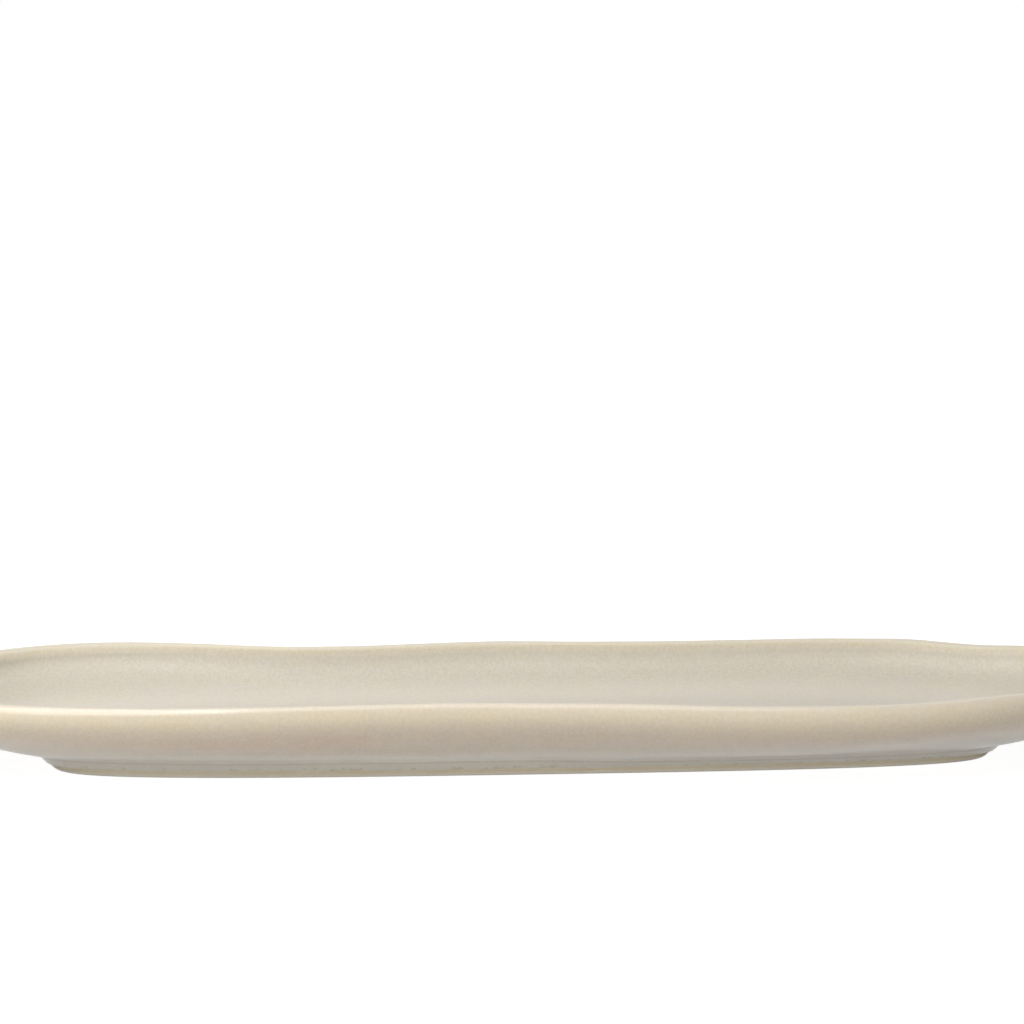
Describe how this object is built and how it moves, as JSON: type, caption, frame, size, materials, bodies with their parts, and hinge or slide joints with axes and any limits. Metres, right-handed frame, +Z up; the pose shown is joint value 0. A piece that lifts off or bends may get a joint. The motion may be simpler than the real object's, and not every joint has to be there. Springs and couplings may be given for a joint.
{
  "type": "asparagus plate",
  "caption": "Long, shallow stoneware serving plate with a softly waved rim, a cream glaze inside and out, and a foot ring with a bare clay standing edge.",
  "frame": {"origin": "on the table under the middle of the plate", "axes": "+X along the plate's length, +Y away from the viewer of the picture, +Z up"},
  "size_m": [0.408, 0.1654, 0.0289],
  "materials": {
    "clay": "matte",
    "inside_glaze": "satin",
    "outside_glaze": "satin",
    "underside_glaze": "satin"
  },
  "bodies": {
    "root": {"stoneware_body": "clay", "foot_ring": "clay", "inside_glaze": "inside_glaze", "outside_glaze": "outside_glaze", "underside_glaze": "underside_glaze"}
  },
  "joints": []
}
